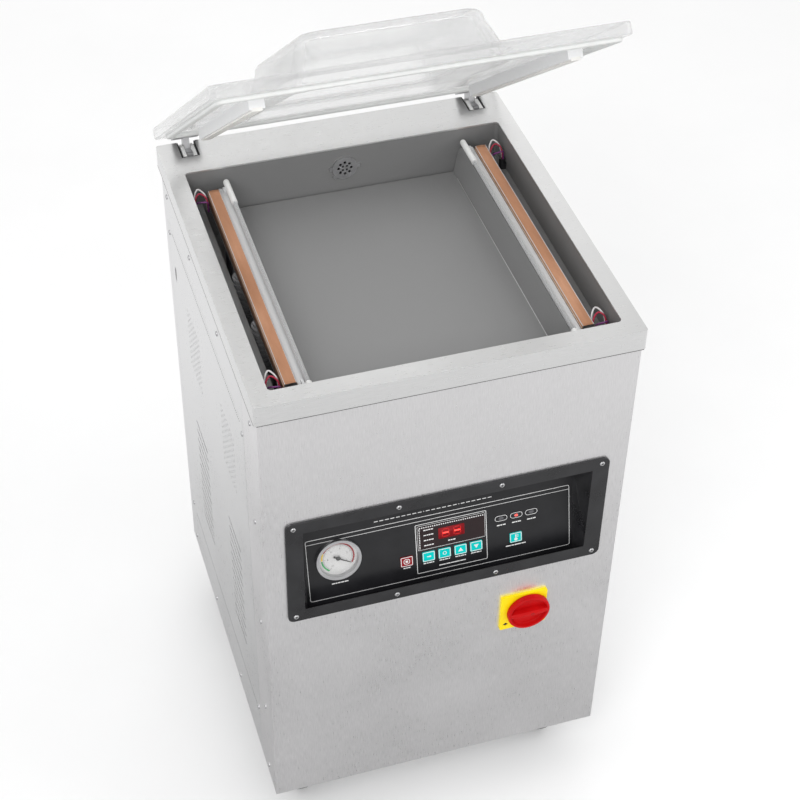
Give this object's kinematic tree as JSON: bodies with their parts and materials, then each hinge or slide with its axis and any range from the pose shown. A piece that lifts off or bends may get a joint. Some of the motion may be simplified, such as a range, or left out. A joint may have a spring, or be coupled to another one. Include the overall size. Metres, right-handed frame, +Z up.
{
  "type": "vacuum packing machine",
  "caption": "Floor-standing vacuum packing machine with clear domed lid, seal bars along both sides of the tray, sloped control panel, rotary main switch and castors.",
  "frame": {"origin": "middle of the footprint, on the floor", "axes": "+Z up, -Y towards the control panel, +X to the right as seen from the front"},
  "size_m": [0.49, 0.5791, 1.1968],
  "materials": {
    "cabinet_steel": "fine-brushed stainless sheet",
    "rim_steel": "fine-brushed stainless plate",
    "chamber_steel": "satin stainless sheet",
    "tray_steel": "smooth stainless sheet",
    "bright_steel": "bright wire and rod",
    "silver_alloy": "natural aluminium",
    "white_plastic": "moulded",
    "black_plastic": "moulded, fine grain",
    "face_film": "printed film",
    "display_film": "dark red window",
    "key_film": "printed film key",
    "stop_film": "printed film key",
    "gauge_plate": "printed dial",
    "gauge_black": "matt black",
    "clear_glass": "clear window",
    "clear_acrylic": "clear thick acrylic",
    "switch_yellow": "moulded",
    "switch_red": "moulded",
    "tape_brown": "coated glass cloth",
    "silicone_pale": "silicone strip",
    "gasket_white": "silicone profile",
    "bellows_rubber": "ribbed rubber",
    "lead_red": "silicone-covered wire",
    "hose_rubber": "reinforced hose",
    "pump_paint": "cast, painted",
    "motor_paint": "cast, painted",
    "board_green": "circuit board",
    "iron_core": "laminated core",
    "valve_brass": "machined",
    "zinc_plate": "zinc-plated pressing",
    "wheel_rubber": "solid wheel"
  },
  "bodies": {
    "cabinet": {"cabinet_frame": "cabinet_steel", "front_panel": "cabinet_steel", "left_side_cover": "cabinet_steel", "right_side_cover": "cabinet_steel", "rear_cover": "cabinet_steel", "top_rim": "rim_steel", "chamber_tub": "chamber_steel", "floor_tray": "tray_steel", "clip_rails": "silver_alloy", "clip_springs": "bright_steel", "clip_sleeves": "white_plastic", "suction_grille": "silver_alloy", "lift_bellows": "bellows_rubber", "heater_leads": "lead_red", "lead_glands": "black_plastic", "hinge_clevises": "white_plastic", "hinge_pins": "bright_steel", "hinge_springs": "bright_steel", "control_bezel": "black_plastic", "control_face": "face_film", "display_module": "display_film", "gauge_case": "silver_alloy", "gauge_dial": "gauge_plate", "gauge_glass": "clear_glass", "control_board": "board_green", "main_switch": "switch_yellow", "panel_screws": "bright_steel", "mains_gland": "black_plastic", "vacuum_pump": "pump_paint", "pump_motor": "motor_paint", "suction_hose": "hose_rubber", "transformer": "iron_core", "solenoid_valve": "valve_brass", "caster_plates": "zinc_plate"},
    "lid": {"lid_shell": "clear_acrylic", "lid_gasket": "gasket_white", "counter_bars": "silver_alloy", "counter_silicones": "silicone_pale", "hinge_arms": "silver_alloy"},
    "bar_left": {"seal_bar_left": "silver_alloy", "seal_tape_left": "tape_brown"},
    "bar_right": {"seal_bar_right": "silver_alloy", "seal_tape_right": "tape_brown"},
    "knob": {"switch_knob": "switch_red"},
    "needle": {"gauge_needle": "gauge_black"},
    "fan": {"motor_fan": "black_plastic"},
    "stop_key": {"stop_key": "stop_film"},
    "menu_key": {"menu_key": "key_film"},
    "set_key": {"set_key": "key_film"},
    "up_key": {"up_key": "key_film"},
    "down_key": {"down_key": "key_film"},
    "heat_key": {"heat_key": "key_film"},
    "fork_fl": {"caster_fork_fl": "zinc_plate"},
    "wheel_fl": {"caster_wheel_fl": "wheel_rubber"},
    "fork_fr": {"caster_fork_fr": "zinc_plate"},
    "wheel_fr": {"caster_wheel_fr": "wheel_rubber"},
    "fork_rl": {"caster_fork_rl": "zinc_plate"},
    "wheel_rl": {"caster_wheel_rl": "wheel_rubber"},
    "fork_rr": {"caster_fork_rr": "zinc_plate"},
    "wheel_rr": {"caster_wheel_rr": "wheel_rubber"}
  },
  "joints": [
    {"name": "lid_hinge", "type": "hinge", "parent": "cabinet", "child": "lid", "pos_m": [0, 0.271, 0.833], "axis": [-1, 0, 0], "range_deg": [-37.8, 0], "stiffness_Nm_per_rad": 4.5, "springref_deg": 160.43, "deforming": ["hinge_springs"]},
    {"name": "bar_left_lift", "type": "slide", "parent": "cabinet", "child": "bar_left", "axis": [0, 0, 1], "range_m": [0, 0.0065]},
    {"name": "bar_right_lift", "type": "slide", "parent": "cabinet", "child": "bar_right", "axis": [0, 0, 1], "range_m": [0, 0.0065]},
    {"name": "knob_turn", "type": "hinge", "parent": "cabinet", "child": "knob", "pos_m": [0.12, -0.2733, 0.3825], "axis": [0, 1, 0], "range_deg": [0, 90]},
    {"name": "needle_turn", "type": "hinge", "parent": "cabinet", "child": "needle", "pos_m": [-0.1373, -0.24004, 0.52988], "axis": [0, 0.9744, -0.225], "range_deg": [0, 240], "stiffness_Nm_per_rad": 0.0005},
    {"name": "fan_spin", "type": "hinge", "parent": "cabinet", "child": "fan", "pos_m": [-0.2, 0.2, 0.19], "axis": [1, 0, 0], "continuous": true},
    {"name": "stop_press", "type": "slide", "parent": "cabinet", "child": "stop_key", "axis": [0, 0.9744, -0.225], "range_m": [0, 0.0007], "stiffness_N_per_m": 2000},
    {"name": "menu_press", "type": "slide", "parent": "cabinet", "child": "menu_key", "axis": [0, 0.9744, -0.225], "range_m": [0, 0.0007], "stiffness_N_per_m": 2000},
    {"name": "set_press", "type": "slide", "parent": "cabinet", "child": "set_key", "axis": [0, 0.9744, -0.225], "range_m": [0, 0.0007], "stiffness_N_per_m": 2000},
    {"name": "up_press", "type": "slide", "parent": "cabinet", "child": "up_key", "axis": [0, 0.9744, -0.225], "range_m": [0, 0.0007], "stiffness_N_per_m": 2000},
    {"name": "down_press", "type": "slide", "parent": "cabinet", "child": "down_key", "axis": [0, 0.9744, -0.225], "range_m": [0, 0.0007], "stiffness_N_per_m": 2000},
    {"name": "heat_press", "type": "slide", "parent": "cabinet", "child": "heat_key", "axis": [0, 0.9744, -0.225], "range_m": [0, 0.0007], "stiffness_N_per_m": 2000},
    {"name": "swivel_fl", "type": "hinge", "parent": "cabinet", "child": "fork_fl", "pos_m": [-0.19, -0.215, 0.085], "axis": [0, 0, 1], "continuous": true},
    {"name": "roll_fl", "type": "hinge", "parent": "fork_fl", "child": "wheel_fl", "pos_m": [-0.19, -0.185, 0.0375], "axis": [1, 0, 0], "continuous": true},
    {"name": "swivel_fr", "type": "hinge", "parent": "cabinet", "child": "fork_fr", "pos_m": [0.19, -0.215, 0.085], "axis": [0, 0, 1], "continuous": true},
    {"name": "roll_fr", "type": "hinge", "parent": "fork_fr", "child": "wheel_fr", "pos_m": [0.19, -0.185, 0.0375], "axis": [1, 0, 0], "continuous": true},
    {"name": "swivel_rl", "type": "hinge", "parent": "cabinet", "child": "fork_rl", "pos_m": [-0.19, 0.19, 0.085], "axis": [0, 0, 1], "continuous": true},
    {"name": "roll_rl", "type": "hinge", "parent": "fork_rl", "child": "wheel_rl", "pos_m": [-0.19, 0.22, 0.0375], "axis": [1, 0, 0], "continuous": true},
    {"name": "swivel_rr", "type": "hinge", "parent": "cabinet", "child": "fork_rr", "pos_m": [0.19, 0.19, 0.085], "axis": [0, 0, 1], "continuous": true},
    {"name": "roll_rr", "type": "hinge", "parent": "fork_rr", "child": "wheel_rr", "pos_m": [0.19, 0.22, 0.0375], "axis": [1, 0, 0], "continuous": true}
  ],
  "couplings": [
    {"joint": "bar_right_lift", "follows": "bar_left_lift", "ratio": 1}
  ]
}
